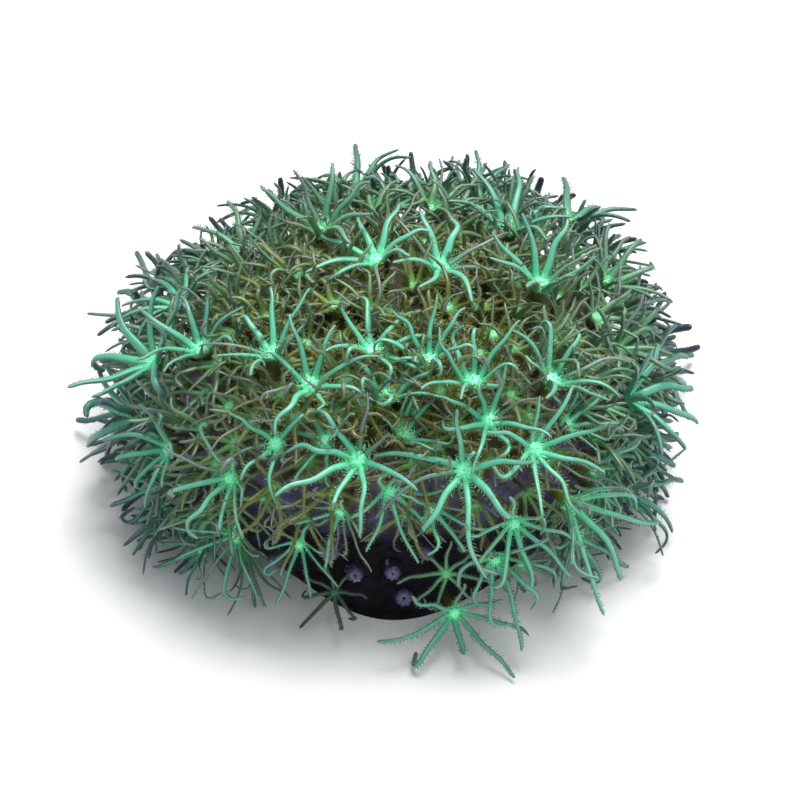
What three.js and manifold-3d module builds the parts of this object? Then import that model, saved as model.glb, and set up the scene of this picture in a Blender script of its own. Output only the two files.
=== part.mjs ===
// Green star polyp: a colony of soft coral, cut off flat from the rock that it grew over.
// A rubbery purple mat covers a low mound. Open polyps stand on it, each a stalk with a crown of
// eight tentacles. Young polyps, and closed ones drawn in to lumps, grow out of the mat between them.
// Millimetres. +Z is up, the flat cut is at z = 0, and the photograph sees the colony from -Y.
import * as THREE from "three";
import { mergeVertices } from "three/addons/utils/BufferGeometryUtils.js";
import Module from "manifold-3d";

const wasm = await Module();
wasm.setup();

// Mound. Its rim and the edge of its cut aren't round: their radii are given every 30 degrees from +X.
const RIM_RADII = [27.5, 31.5, 32, 28.5, 27, 28, 27, 26.5, 24, 22.5, 24.5, 26.5];
const CUT_RADII = [24, 24.5, 24, 22, 22, 24, 24.5, 22.5, 23.5, 27.5, 25, 23];
const RIM_HEIGHT = 12;
const MOUND_HEIGHT = 25;
const MOUND_FULLNESS = 2.4;
const SWELL_HEIGHT = 0.9;
const SWELL_REACH = 28;
const MOUND_SECTORS = 24;
const MOUND_BANDS = 10;

// Polyps. Spacing is from any polyp placed before to the next one of this kind.
const TENTACLES = 8;
const OPEN = { stalk: 6.2, hub: 1.3, reach: 8.2, foot: 1.1, spacing: 9.2 };
const YOUNG = { stalk: 4, hub: 1, reach: 5, foot: 0.9, spacing: 6.1 };
const MOST_OPEN = 59;
const MOST_YOUNG = 34;
const LOWEST_POLYP = 41;
const HUB_DEPTH = 0.8;
const HUB_DOME = 0.25;
const TENTACLE_WIDTH = 1;
const TENTACLE_DEPTH = 0.7;
const TIP_RISE = 0.85;
const LEAST_RISE = 28;
const MOST_RISE = 52;
const RISE_ON_TOP = 16;
const LEAST_DROOP = 0.08;
const MOST_DROOP = 0.28;
const ROOTED = 0.9;
// Polyps are slimmer low down, from one of these distances down the mat to the other.
const SLIM_FROM = 20;
const SLIM_TO = 33;
const SLIMMEST = 0.65;
const UPWARD_LEAN = 0.35;
const STRAY_LEAN = 0.16;
const CROWD_LEAN = 0.8;
const CROWD_REACH = 9;

// Gaps between pieces, and above the surface that the colony stands on
const SEAT_GAP = 0.3;
const TENTACLE_GAP = 0.2;
const FLOOR_GAP = 0.9;

// Places on the mat are [azimuth, down]: degrees round from +X, and millimetres down its skin from the top.
// Open polyps that the photograph shows one by one, from the back of the top to the low front. A third
// value is a polyp's size, where it isn't 1.
const SEEN_OPEN = [
  [100, 5], [38, 6], [44, 17], [5, 17], [172, 24.5, 0.9], [190, 27, 1.05], [196, 22.5, 0.9], [191, 32],
  [209, 30, 0.85], [227, 28.5], [229, 36, 0.85], [219.5, 40.5, 0.85], [245, 34.5, 0.7], [261.5, 25, 1.1],
  [250, 23.5, 0.8], [234.5, 24.5, 0.85], [219, 17.5], [236, 18.5], [250, 12], [266, 19, 1.05],
  [272, 22.5, 0.8], [296, 14], [307, 18.5, 0.95], [305, 22, 0.9], [326.5, 22, 1.05], [324, 26, 0.75],
  [310, 26, 1.05], [294, 26, 1.15], [314, 30, 1.2], [324, 30.5, 0.8], [302, 30.5], [297, 35.5],
  [285, 44, 1.08], [268.5, 27, 0.8], [282.5, 28.8, 0.75], [258, 28.7, 0.75], [203, 37, 0.75], [345, 29],
  [333, 36.5], [320, 38, 0.9],
];
const SEEN_YOUNG = [[286, 39.8], [256.5, 43.4]];
// The front of the mat is bare below this, between these azimuths.
const BARE = { from: 240, to: 300, below: 31 };
// Closed polyps, drawn in to lumps on the bare front and low down at the sides.
const LUMPS = [
  [260, 41], [271, 40.5], [274, 44], [281, 37.5], [252, 37.5], [302, 42], [235, 42], [340, 42],
  [15, 42], [60, 42], [100, 42], [140, 42], [180, 42],
];
const LUMP_SIZE = 1.6;

const RADIANS = Math.PI / 180;
const UP = new THREE.Vector3(0, 0, 1);

// A repeatable number from 0 to 1 for each polyp and use.
function chance(index, use) {
  const value = Math.sin(index * 12.9898 + use * 78.233) * 43758.5453;
  return value - Math.floor(value);
}

function between(index, use, low, high) {
  return low + (high - low) * chance(index, use);
}

function mean(values) {
  return values.reduce((sum, value) => sum + value, 0) / values.length;
}

// A smooth closed curve through values spaced evenly round the mound.
function around(values, azimuth) {
  const place = ((((azimuth % 360) + 360) % 360) / 360) * values.length;
  const [a, b, c, d] = [-1, 0, 1, 2].map((step) => {
    return values[(Math.floor(place) + step + values.length) % values.length];
  });
  const t = place - Math.floor(place);
  return b + 0.5 * t * (c - a + t * (2 * a - 5 * b + 4 * c - d + t * (3 * (b - c) + d - a)));
}

// Radius and height on the mound's profile. Polar 0 is the top, 90 the rim, 180 the edge of the cut.
function profile(rim, cut, polar) {
  const power = 2 / MOUND_FULLNESS;
  if (polar <= 90) {
    const p = polar * RADIANS;
    const height = RIM_HEIGHT + (MOUND_HEIGHT - RIM_HEIGHT) * Math.abs(Math.cos(p)) ** power;
    return [rim * Math.sin(p) ** power, height];
  }
  const q = (polar - 90) * RADIANS;
  return [cut + (rim - cut) * Math.cos(q), RIM_HEIGHT * (1 - Math.sin(q))];
}

// The length of skin from the top down to each polar angle, on the profile of mean radii.
const skin = [{ polar: 0, down: 0 }];
for (let polar = 2; polar <= 180; polar += 2) {
  const [above, below] = [polar - 2, polar].map((angle) => {
    return new THREE.Vector2(...profile(mean(RIM_RADII), mean(CUT_RADII), angle));
  });
  skin.push({ polar, down: skin[skin.length - 1].down + above.distanceTo(below) });
}
const SKIN_LENGTH = skin[skin.length - 1].down;

function polarAt(down) {
  const kept = Math.min(Math.max(down, 0), SKIN_LENGTH);
  const after = Math.max(1, skin.findIndex((place) => place.down >= kept));
  const [high, low] = [skin[after - 1], skin[after]];
  return high.polar + ((low.polar - high.polar) * (kept - high.down)) / (low.down - high.down);
}

// Swells and dips on the mound's top, gone before its rim.
function swell(azimuth, down) {
  const share = Math.min(1, Math.max(0, down) / SWELL_REACH);
  return SWELL_HEIGHT * Math.sin(share * Math.PI) * Math.cos(3 * azimuth * RADIANS + 1.2);
}

function moundPoint(azimuth, down) {
  const [rim, cut] = [around(RIM_RADII, azimuth), around(CUT_RADII, azimuth)];
  const [radius, height] = profile(rim, cut, polarAt(down));
  const a = azimuth * RADIANS;
  return new THREE.Vector3(radius * Math.cos(a), radius * Math.sin(a), height + swell(azimuth, down));
}

function moundNormal(azimuth, down) {
  const low = Math.min(down + 0.6, SKIN_LENGTH);
  const high = Math.max(low - 1.2, 0.4);
  const east = moundPoint(azimuth + 2, down).sub(moundPoint(azimuth - 2, down));
  const south = moundPoint(azimuth, low).sub(moundPoint(azimuth, high));
  return down < 0.5 ? UP.clone() : south.cross(east).normalize();
}

// How far a point lies outside the mound, near enough for keeping tentacles off it.
function aboveMound(point) {
  const azimuth = Math.atan2(point.y, point.x) / RADIANS;
  const radius = Math.hypot(point.x, point.y);
  const [rim, cut] = [around(RIM_RADII, azimuth), around(CUT_RADII, azimuth)];
  if (point.z < RIM_HEIGHT) {
    const share = 1 - Math.max(0, point.z) / RIM_HEIGHT;
    return radius - cut - (rim - cut) * Math.sqrt(1 - share * share);
  }
  const tall = MOUND_HEIGHT - RIM_HEIGHT;
  const share = (radius / rim) ** MOUND_FULLNESS + ((point.z - RIM_HEIGHT) / tall) ** MOUND_FULLNESS;
  return (share ** (1 / MOUND_FULLNESS) - 1) * tall - SWELL_HEIGHT;
}

// The mound: a sphere whose rings are moved to the mound's skin, and whose lower pole closes the flat cut.
function moundGeometry() {
  const rings = MOUND_BANDS + 1;
  const geometry = new THREE.SphereGeometry(1, MOUND_SECTORS, rings);
  geometry.rotateX(Math.PI / 2);
  const position = geometry.attributes.position;
  for (let i = 0; i < position.count; i++) {
    const ring = Math.round((Math.acos(position.getZ(i)) / Math.PI) * rings);
    const azimuth = Math.atan2(position.getY(i), position.getX(i)) / RADIANS;
    const point = moundPoint(azimuth, (ring * SKIN_LENGTH) / MOUND_BANDS);
    if (ring === rings) {
      point.set(0, 0, 0);
    }
    position.setXYZ(i, point.x, point.y, point.z);
  }
  return geometry;
}

function solidOf(geometry) {
  geometry.deleteAttribute("normal");
  geometry.deleteAttribute("uv");
  const merged = mergeVertices(geometry, 1e-4);
  return new wasm.Manifold(
    new wasm.Mesh({
      numProp: 3,
      vertProperties: merged.attributes.position.array,
      triVerts: new Uint32Array(merged.index.array),
    }),
  );
}

function geometryOf(solid) {
  const mesh = solid.getMesh();
  const geometry = new THREE.BufferGeometry();
  geometry.setAttribute("position", new THREE.BufferAttribute(mesh.vertProperties, 3));
  geometry.setIndex(new THREE.BufferAttribute(mesh.triVerts, 1));
  geometry.computeVertexNormals();
  return geometry;
}

// Where polyps stand. Each keeps its spacing from those placed before it, along a golden-angle spiral.
function placeAt([azimuth, down, size = 1], kind) {
  return { azimuth, down, size, root: moundPoint(azimuth, down), kind };
}

function fillSpiral(placed, kind, most, steps) {
  const found = [];
  for (let i = 0; i < steps && found.length < most; i++) {
    const azimuth = (i * 137.50776) % 360;
    const down = LOWEST_POLYP * Math.sqrt((i + 0.5) / steps);
    const bare = down > BARE.below && azimuth > BARE.from && azimuth < BARE.to;
    const place = placeAt([azimuth, down, between(i, 11, 0.8, 1.08)], kind);
    const far = [...placed, ...found].every((other) => other.root.distanceTo(place.root) >= kind.spacing);
    if (!bare && far) {
      found.push(place);
    }
  }
  return found;
}

const seenOpen = SEEN_OPEN.map((place) => placeAt(place, OPEN));
const seenYoung = SEEN_YOUNG.map((place) => placeAt(place, YOUNG));
const seen = [...seenOpen, ...seenYoung];
const open = [...seenOpen, ...fillSpiral(seen, OPEN, MOST_OPEN - seenOpen.length, 400)];
const young = [...seenYoung, ...fillSpiral([...open, ...seenYoung], YOUNG, MOST_YOUNG, 1500)];

// Which way a polyp is pushed by its neighbours, which stand close to it.
function crowding(polyp) {
  const push = new THREE.Vector3();
  for (const other of polyps.filter((candidate) => candidate !== polyp)) {
    const apart = polyp.root.clone().sub(other.root);
    const share = Math.max(0, 1 - apart.length() / CROWD_REACH);
    push.addScaledVector(apart.normalize(), share);
  }
  return push;
}

// A polyp's stalk leaves the mat square to it and leans upwards and away from its neighbours.
// Its crown faces along axis.
function raise(polyp, index) {
  const { kind, root, azimuth, down, size } = polyp;
  const normal = moundNormal(azimuth, down);
  const stray = new THREE.Vector3(between(index, 1, -1, 1), between(index, 2, -1, 1), 0);
  const axis = normal.clone()
    .addScaledVector(UP, UPWARD_LEAN)
    .addScaledVector(stray, STRAY_LEAN)
    .addScaledVector(crowding(polyp), CROWD_LEAN)
    .normalize();
  const stalk = kind.stalk * size * between(index, 3, 0.88, 1.12);
  const centre = root.clone().addScaledVector(normal, stalk / 2).addScaledVector(axis, stalk / 2);
  const across = new THREE.Vector3().crossVectors(UP, axis);
  if (across.length() < 0.05) {
    across.set(1, 0, 0);
  }
  across.normalize();
  const along = new THREE.Vector3().crossVectors(axis, across).normalize();
  Object.assign(polyp, { index, normal, axis, centre, across, along });
  polyp.turn = between(index, 4, 0, 360 / TENTACLES);
  polyp.rise = between(index, 5, LEAST_RISE, MOST_RISE) + RISE_ON_TOP * (1 - down / LOWEST_POLYP);
  polyp.droop = between(index, 6, LEAST_DROOP, MOST_DROOP);
  polyp.reach = kind.reach * size;
  polyp.slim = 1 - (1 - SLIMMEST) * THREE.MathUtils.smoothstep(down, SLIM_FROM, SLIM_TO);
}

// One tentacle's root, middle and tip, and the direction that it leaves the crown in.
function tentacleLine(polyp, k, attempt) {
  const { kind, centre, axis, across, along, index } = polyp;
  const angle = (polyp.turn + (k * 360) / TENTACLES) * RADIANS;
  const outward = across.clone().multiplyScalar(Math.cos(angle)).addScaledVector(along, Math.sin(angle));
  const swung = outward.clone().applyAxisAngle(axis, attempt.swing * RADIANS);
  const rise = (polyp.rise + attempt.lift + between(index * TENTACLES + k, 8, -9, 9)) * RADIANS;
  const reach = polyp.reach * attempt.share * between(index * TENTACLES + k, 9, 0.86, 1.1);
  const droop = polyp.droop * between(index * TENTACLES + k, 10, 0.6, 1.4);
  const root = centre.clone().addScaledVector(outward, kind.hub * polyp.slim);
  const control = root.clone()
    .addScaledVector(swung, 0.5 * reach * Math.cos(rise))
    .addScaledVector(axis, 0.5 * reach * Math.sin(rise));
  const tip = root.clone()
    .addScaledVector(swung, reach * Math.cos(TIP_RISE * rise))
    .addScaledVector(axis, reach * Math.sin(TIP_RISE * rise))
    .addScaledVector(UP, -droop * reach);
  const middle = new THREE.QuadraticBezierCurve3(root, control, tip).getPoint(0.5);
  return { root, middle, tip, outward };
}

// Beads are balls along the tentacles and stalks that stand for them when room is looked for.
const BEADS = 9;
const taken = [];

function beadsAlong(line, owner, slim) {
  const made = [];
  for (let i = 1; i <= BEADS; i++) {
    const t = i / BEADS;
    const point = t < 0.5
      ? line.root.clone().lerp(line.middle, 2 * t)
      : line.middle.clone().lerp(line.tip, 2 * t - 1);
    made.push({ point, radius: (0.62 - 0.4 * t * t) * slim, owner, free: t > 0.45 });
  }
  return made;
}

// The smallest gap from a tentacle's beads to the floor, the mat and the beads near it.
function roomAt(beads, near) {
  let room = Infinity;
  for (const bead of beads) {
    room = Math.min(room, bead.point.z - FLOOR_GAP - bead.radius);
    if (bead.free) {
      room = Math.min(room, aboveMound(bead.point) - TENTACLE_GAP - bead.radius);
    }
    for (const other of near) {
      if (other.owner !== bead.owner || (bead.free && other.free)) {
        const apart = bead.radius + other.radius + TENTACLE_GAP;
        room = Math.min(room, other.point.distanceTo(bead.point) - apart);
      }
    }
  }
  return room;
}

// Ways for a tentacle to lie, the ones nearest to its own way first.
const ATTEMPTS = [];
for (const share of [1, 0.9, 0.8, 0.7, 0.6, 0.5, 0.4, 0.3]) {
  for (const lift of [0, 12, -12, 24, 36]) {
    for (const swing of [0, 9, -9, 18, -18]) {
      ATTEMPTS.push({ share, swing, lift });
    }
  }
}

// A tentacle takes the first way that has room, or else the roomiest, so that it swings, lifts or
// stops short where it would touch another polyp, the mat or the floor.
function settleTentacles(polyp) {
  polyp.lines = [];
  for (let k = 0; k < TENTACLES; k++) {
    const near = taken.filter((bead) => bead.point.distanceTo(polyp.centre) < 2 * OPEN.reach);
    let best = { room: -Infinity };
    for (const attempt of ATTEMPTS) {
      const line = tentacleLine(polyp, k, attempt);
      const beads = beadsAlong(line, polyp.index, polyp.slim);
      const room = roomAt(beads, near);
      if (room > best.room) {
        best = { room, line, beads };
      }
      if (room > 0) {
        break;
      }
    }
    taken.push(...best.beads);
    polyp.lines.push(best.line);
  }
}

const lumps = LUMPS.map(([azimuth, down], index) => {
  const size = LUMP_SIZE * between(index, 20, 0.8, 1.2);
  return { size, point: moundPoint(azimuth, down), normal: moundNormal(azimuth, down) };
});
lumps.forEach(({ size, point }) => taken.push({ point, radius: size, owner: null, free: false }));
const polyps = [...open, ...young];
polyps.forEach(raise);
for (const { kind, root, centre, slim, index } of polyps) {
  for (const t of [0, 0.25, 0.5, 0.75, 1]) {
    const point = root.clone().lerp(centre, t);
    const radius = slim * (t < 1 ? kind.foot : kind.hub);
    taken.push({ point, radius, owner: index, free: false });
  }
}
polyps.forEach(settleTentacles);

const tissue = new THREE.MeshStandardMaterial({ name: "mat", color: 0x4a4068, roughness: 0.55 });
const flesh = new THREE.MeshStandardMaterial({ name: "polyp", color: 0x3fae8c, roughness: 0.45 });
const mound = new THREE.Mesh(moundGeometry(), tissue);

// The place on the mound's facets under a point near them, and the seat gap above it.
function seatUnder(point, normal) {
  const start = point.clone().addScaledVector(normal, 4);
  const [hit] = new THREE.Raycaster(start, normal.clone().negate()).intersectObject(mound);
  return hit.point.addScaledVector(normal, SEAT_GAP);
}

// One polyp as a closed mesh: a tapered stalk, a crown disc, and tentacles grown from the disc's edge.
// An open polyp is seated on the mat, and a young one is rooted in it.
function polypSolid(polyp) {
  const { kind, root, centre, normal, axis, across, along, slim, lines } = polyp;
  const points = [];
  const faces = [];
  const add = (point) => points.push(point) - 1;
  const quad = (a, b, c, d) => faces.push(a, b, c, a, c, d);
  const half = 180 / TENTACLES;
  const ring = (middle, radius, count) => {
    return Array.from({ length: count }, (_, k) => {
      const angle = (polyp.turn - half + (k * 360) / count) * RADIANS;
      return middle.clone()
        .addScaledVector(across, radius * Math.cos(angle))
        .addScaledVector(along, radius * Math.sin(angle));
    });
  };
  const footSides = TENTACLES / 2;
  const foot = ring(root, kind.foot * slim, footSides).map((point) => {
    return add(kind === OPEN ? seatUnder(point, normal) : point.addScaledVector(normal, -ROOTED));
  });
  const under = centre.clone().addScaledVector(axis, -HUB_DEPTH);
  const lower = ring(under, kind.hub * slim * 0.85, TENTACLES).map(add);
  const upper = ring(centre, kind.hub * slim, TENTACLES).map(add);
  const mouth = add(centre.clone().addScaledVector(axis, HUB_DOME));
  for (let k = 0; k < footSides; k++) {
    const next = (k + 1) % footSides;
    const last = (2 * k + 2) % TENTACLES;
    faces.push(foot[k], lower[2 * k + 1], lower[2 * k]);
    faces.push(foot[k], foot[next], lower[2 * k + 1]);
    faces.push(foot[next], lower[last], lower[2 * k + 1]);
  }
  for (let k = 1; k < footSides - 1; k++) {
    faces.push(foot[0], foot[k + 1], foot[k]);
  }
  for (let k = 0; k < TENTACLES; k++) {
    const next = (k + 1) % TENTACLES;
    const { middle, tip, outward, root: start } = lines[k];
    const end = add(tip);
    faces.push(mouth, upper[k], upper[next]);
    if (kind !== OPEN) {
      faces.push(upper[k], end, upper[next], upper[k], lower[k], end);
      faces.push(upper[next], end, lower[next], lower[k], lower[next], end);
      continue;
    }
    const left = new THREE.Vector3().crossVectors(axis, outward).normalize();
    const above = tip.clone().sub(start).normalize().cross(left).normalize();
    const high = middle.clone().addScaledVector(above, 0.4 * TENTACLE_DEPTH * slim);
    const rightEdge = add(high.clone().addScaledVector(left, (-TENTACLE_WIDTH / 2) * slim));
    const leftEdge = add(high.clone().addScaledVector(left, (TENTACLE_WIDTH / 2) * slim));
    const keel = add(middle.clone().addScaledVector(above, -0.6 * TENTACLE_DEPTH * slim));
    quad(upper[k], rightEdge, leftEdge, upper[next]);
    quad(upper[k], lower[k], keel, rightEdge);
    quad(upper[next], leftEdge, keel, lower[next]);
    faces.push(lower[k], lower[next], keel);
    faces.push(rightEdge, end, leftEdge, rightEdge, keel, end, leftEdge, end, keel);
  }
  const geometry = new THREE.BufferGeometry().setFromPoints(points);
  geometry.setIndex(faces);
  return solidOf(geometry);
}

// A closed polyp: a low lump on the mat.
function lumpSolid({ size, point, normal }) {
  const geometry = new THREE.SphereGeometry(size, 6, 4);
  geometry.rotateX(Math.PI / 2);
  geometry.applyQuaternion(new THREE.Quaternion().setFromUnitVectors(UP, normal));
  geometry.translate(point.x, point.y, point.z);
  return solidOf(geometry);
}

const colony = new THREE.Group();

function addPiece(name, solid, material) {
  const mesh = new THREE.Mesh(geometryOf(solid), material);
  mesh.name = name;
  colony.add(mesh);
}

const grown = [...young.map(polypSolid), ...lumps.map(lumpSolid)];
addPiece("mat", grown.reduce((whole, thing) => whole.add(thing), solidOf(moundGeometry())), tissue);
open.forEach((polyp, index) => {
  addPiece(`polyp_${String(index + 1).padStart(2, "0")}`, polypSolid(polyp), flesh);
});

export default colony;
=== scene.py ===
# Green star polyp: the finished surfaces of a soft coral colony that rests on its flat cut.
# The forms are worked out in millimetres and made in metres. +Z is up, and the camera looks from -Y.
import functools
import math

import bpy
import numpy as np
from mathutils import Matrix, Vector


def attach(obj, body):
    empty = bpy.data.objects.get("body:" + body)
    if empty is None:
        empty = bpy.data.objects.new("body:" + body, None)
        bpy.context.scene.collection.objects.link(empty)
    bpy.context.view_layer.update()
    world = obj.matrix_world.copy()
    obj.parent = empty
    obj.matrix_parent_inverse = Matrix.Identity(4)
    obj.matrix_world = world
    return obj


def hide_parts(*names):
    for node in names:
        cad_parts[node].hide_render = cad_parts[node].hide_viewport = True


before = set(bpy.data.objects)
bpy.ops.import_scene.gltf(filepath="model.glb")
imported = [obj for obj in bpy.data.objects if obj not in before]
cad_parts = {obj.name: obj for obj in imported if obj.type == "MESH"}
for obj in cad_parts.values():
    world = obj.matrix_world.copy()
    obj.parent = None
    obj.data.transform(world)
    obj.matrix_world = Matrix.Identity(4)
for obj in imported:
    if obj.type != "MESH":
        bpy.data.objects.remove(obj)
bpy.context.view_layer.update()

METRE = 0.001

# Mound. Its rim and the edge of its cut aren't round: their radii are given every 30 degrees from +X.
RIM_RADII = np.array([27.5, 31.5, 32, 28.5, 27, 28, 27, 26.5, 24, 22.5, 24.5, 26.5])
CUT_RADII = np.array([24, 24.5, 24, 22, 22, 24, 24.5, 22.5, 23.5, 27.5, 25, 23])
RIM_HEIGHT = 12
MOUND_HEIGHT = 25
MOUND_FULLNESS = 2.4
SWELL_HEIGHT = 0.9
SWELL_REACH = 28

# Polyps. Spacing is from any polyp placed before to the next one of this kind. Open and young polyps stand
# where the solids have them. Small polyps and buds are made here alone.
TENTACLES = 8
OPEN = {"stalk": 6.2, "hub": 1.3, "reach": 8.2, "foot": 1.1, "spacing": 9.2, "dull": 0.3}
YOUNG = {"stalk": 4, "hub": 1, "reach": 5, "foot": 0.9, "spacing": 6.1, "dull": 0.4}
SMALL = {"stalk": 4.4, "hub": 0.9, "reach": 6.2, "foot": 0.7, "spacing": 3.4, "dull": 0.62}
BUD = {"stalk": 2.4, "hub": 0.6, "reach": 2.8, "foot": 0.5, "spacing": 2.5, "dull": 0.75}
MOST_OPEN = sum(name.startswith("polyp_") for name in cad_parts)
MOST_YOUNG = 34
MOST_SMALL = 230
MOST_BUDS = 30
# How many places are tried along the spiral.
OPEN_TRIES = 400
YOUNG_TRIES = 1500
SMALL_TRIES = 4000
LOWEST_POLYP = 41
TIP_RISE = 0.85
LEAST_RISE = 28
MOST_RISE = 52
RISE_ON_TOP = 16
LEAST_DROOP = 0.08
MOST_DROOP = 0.28
# Polyps are slimmer low down, from one of these distances down the mat to the other.
SLIM_FROM = 20
SLIM_TO = 33
SLIMMEST = 0.65
UPWARD_LEAN = 0.35
STRAY_LEAN = 0.16
CROWD_LEAN = 0.8
CROWD_REACH = 9
TENTACLE_GAP = 0.2
FLOOR_GAP = 0.9

# Places on the mat are (azimuth, down, size): degrees round from +X, millimetres down its skin from the top,
# and how large the polyp is beside others of its kind. These are the polyps that the photograph shows.
SEEN_OPEN = [
    (100, 5, 1), (38, 6, 1), (44, 17, 1), (5, 17, 1), (172, 24.5, 0.9), (190, 27, 1.05),
    (196, 22.5, 0.9), (191, 32, 1), (209, 30, 0.85), (227, 28.5, 1), (229, 36, 0.85), (219.5, 40.5, 0.85),
    (245, 34.5, 0.7), (261.5, 25, 1.1), (250, 23.5, 0.8), (234.5, 24.5, 0.85), (219, 17.5, 1),
    (236, 18.5, 1), (250, 12, 1), (266, 19, 1.05), (272, 22.5, 0.8), (296, 14, 1), (307, 18.5, 0.95),
    (305, 22, 0.9), (326.5, 22, 1.05), (324, 26, 0.75), (310, 26, 1.05), (294, 26, 1.15),
    (314, 30, 1.2), (324, 30.5, 0.8), (302, 30.5, 1), (297, 35.5, 1), (285, 44, 1.08),
    (268.5, 27, 0.8), (282.5, 28.8, 0.75), (258, 28.7, 0.75), (203, 37, 0.75), (345, 29, 1),
    (333, 36.5, 1), (320, 38, 0.9),
]
SEEN_YOUNG = [(286, 39.8, 1), (256.5, 43.4, 1)]
# The front of the mat is bare below this, between these azimuths.
BARE_FROM = 240
BARE_TO = 300
BARE_BELOW = 31
# Small polyps and buds stand closer together all over the front, and leave its middle open.
FRONT_FROM = 195
FRONT_TO = 345
FRONT_BELOW = 13
CLOSER_AT_FRONT = 0.8
OPEN_FROM = 229
OPEN_TO = 316
OPEN_BELOW = 29.5
# Closed polyps, drawn in to lumps on the bare front and low down at the sides.
LUMPS = [
    (260, 41), (271, 40.5), (274, 44), (281, 37.5), (252, 37.5), (302, 42), (235, 42), (340, 42),
    (15, 42), (60, 42), (100, 42), (140, 42), (180, 42),
]
LUMP_SIZE = 1.6

UP = np.array([0.0, 0.0, 1.0])
GOLDEN_ANGLE = 137.50776


# Small helpers for numbers and directions

def chance(index, use):
    """A repeatable number from 0 to 1 for each polyp and use."""
    value = math.sin(index * 12.9898 + use * 78.233) * 43758.5453
    return value - math.floor(value)


def between(index, use, low, high):
    return low + (high - low) * chance(index, use)


def unit(vectors):
    return vectors / np.maximum(np.linalg.norm(vectors, axis=-1, keepdims=True), 1e-9)


def step_up(values, low, high):
    """0 below low and 1 above high, with a smooth rise between them."""
    share = np.clip((values - low) / (high - low), 0, 1)
    return share * share * (3 - 2 * share)


def ripple(points, wavelength, seed, waves=9):
    """A smooth uneven field from about -1 to 1 over points, from waves that run in all directions."""
    random = np.random.default_rng(seed)
    ways = unit(random.normal(size=(waves, 3)))
    pitch = 2 * math.pi / wavelength * random.uniform(0.6, 1.5, waves)
    start = random.uniform(0, 2 * math.pi, waves)
    return np.sin((points @ ways.T) * pitch + start).sum(axis=-1) / math.sqrt(waves)


# The mound's skin

def around(values, azimuth):
    """A smooth closed curve through values spaced evenly round the mound."""
    place = (np.asarray(azimuth, float) % 360) / 360 * len(values)
    first = np.floor(place).astype(int)
    a, b, c, d = (values[(first + step) % len(values)] for step in (-1, 0, 1, 2))
    t = place - first
    return b + 0.5 * t * (c - a + t * (2 * a - 5 * b + 4 * c - d + t * (3 * (b - c) + d - a)))


def profile(rim, cut, polar):
    """Radius and height on the mound's profile. Polar 0 is the top, 90 the rim and 180 the cut's edge."""
    power = 2 / MOUND_FULLNESS
    p = np.radians(np.minimum(polar, 90))
    q = np.radians(np.maximum(polar, 90) - 90)
    height = RIM_HEIGHT + (MOUND_HEIGHT - RIM_HEIGHT) * np.abs(np.cos(p)) ** power
    upper = np.asarray(polar) <= 90
    return (
        np.where(upper, rim * np.sin(p) ** power, cut + (rim - cut) * np.cos(q)),
        np.where(upper, height, RIM_HEIGHT * (1 - np.sin(q))),
    )


SKIN_POLAR = np.arange(0, 181, 2)
SKIN_STEPS = np.diff(profile(RIM_RADII.mean(), CUT_RADII.mean(), SKIN_POLAR), axis=1)
SKIN_DOWN = np.concatenate([[0], np.cumsum(np.hypot(*SKIN_STEPS))])
SKIN_LENGTH = SKIN_DOWN[-1]


def mound_point(azimuth, down):
    """A point on the mound's skin, with the swells and dips of its top."""
    polar = np.interp(np.clip(down, 0, SKIN_LENGTH), SKIN_DOWN, SKIN_POLAR)
    radius, height = profile(around(RIM_RADII, azimuth), around(CUT_RADII, azimuth), polar)
    share = np.clip(np.asarray(down) / SWELL_REACH, 0, 1)
    swell = SWELL_HEIGHT * np.sin(share * math.pi) * np.cos(3 * np.radians(azimuth) + 1.2)
    a = np.radians(azimuth)
    return np.stack([radius * np.cos(a), radius * np.sin(a), height + swell], axis=-1)


def mound_normal(azimuth, down):
    low = np.minimum(down + 0.6, SKIN_LENGTH)
    high = np.maximum(low - 1.2, 0.4)
    east = mound_point(azimuth + 2, down) - mound_point(azimuth - 2, down)
    south = mound_point(azimuth, low) - mound_point(azimuth, high)
    normal = unit(np.cross(south, east))
    return np.where(np.asarray(down)[..., None] < 0.5, UP, normal)


def above_mound(points):
    """How far points lie outside the mound, near enough for keeping tentacles off it."""
    azimuth = np.degrees(np.arctan2(points[..., 1], points[..., 0]))
    radius = np.hypot(points[..., 0], points[..., 1])
    height = points[..., 2]
    rim, cut = around(RIM_RADII, azimuth), around(CUT_RADII, azimuth)
    sunk = 1 - np.clip(height, 0, RIM_HEIGHT) / RIM_HEIGHT
    beside = radius - cut - (rim - cut) * np.sqrt(1 - sunk * sunk)
    tall = MOUND_HEIGHT - RIM_HEIGHT
    raised = np.maximum(height - RIM_HEIGHT, 0) / tall
    share = (radius / rim) ** MOUND_FULLNESS + raised**MOUND_FULLNESS
    over = (share ** (1 / MOUND_FULLNESS) - 1) * tall - SWELL_HEIGHT
    return np.where(height < RIM_HEIGHT, beside, over)


# Where polyps stand

def place_at(place, kind):
    azimuth, down, size = place
    root = mound_point(azimuth, down)
    return {"azimuth": azimuth, "down": down, "size": size, "root": root, "kind": kind}


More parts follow.
